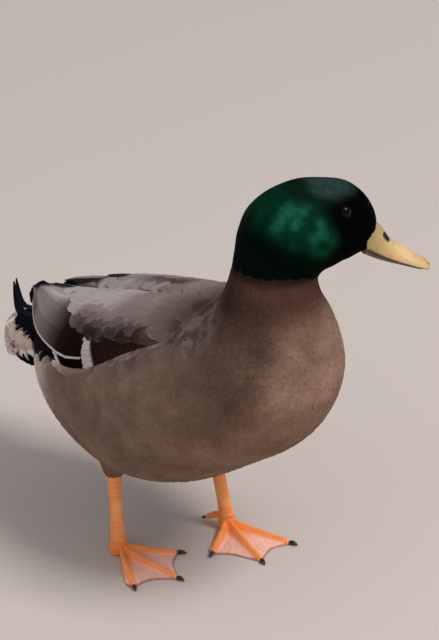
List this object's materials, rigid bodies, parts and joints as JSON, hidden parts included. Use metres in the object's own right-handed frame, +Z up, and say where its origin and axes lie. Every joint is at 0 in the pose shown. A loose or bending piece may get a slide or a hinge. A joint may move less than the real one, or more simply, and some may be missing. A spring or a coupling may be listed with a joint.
{
  "type": "mallard drake",
  "caption": "Life-size still model of a mallard drake standing with its head turned to its left, with folded wings, curled tail feathers and webbed feet.",
  "frame": {"origin": "at floor level below the middle of the bird's bounding box", "axes": "+Z up; the body faces -Y and the tail points to +Y; the bird's left is +X; the head is turned to its left"},
  "size_m": [0.1778, 0.3424, 0.3152],
  "materials": {
    "body_feathers": "soft matt feathers, grey-brown",
    "neck_feathers": "soft matt feathers, dark brown",
    "head_feathers": "sleek glossy feathers, dark green",
    "wing_feathers": "flat satin feathers, brown with a dark and white bar",
    "tail_feathers": "satin feathers, cream with black coverts",
    "curl_feathers": "glossy black feathers",
    "bill": "smooth satin horn, straw yellow",
    "eyes": "wet gloss, dark brown",
    "legs": "scaly skin, orange",
    "claws": "smooth horn, black"
  },
  "bodies": {
    "root": {"trunk": "body_feathers", "neck": "neck_feathers", "head": "head_feathers", "bill_upper": "bill", "bill_lower": "bill", "eye_left": "eyes", "eye_right": "eyes", "wing_left": "wing_feathers", "wing_right": "wing_feathers", "tail": "tail_feathers", "tail_curl_left": "curl_feathers", "tail_curl_right": "curl_feathers", "thigh_left": "body_feathers", "shank_left": "legs", "foot_left": "legs", "claw_inner_left": "claws", "claw_middle_left": "claws", "claw_outer_left": "claws", "claw_hind_left": "claws", "thigh_right": "body_feathers", "shank_right": "legs", "foot_right": "legs", "claw_inner_right": "claws", "claw_middle_right": "claws", "claw_outer_right": "claws", "claw_hind_right": "claws"}
  },
  "joints": []
}
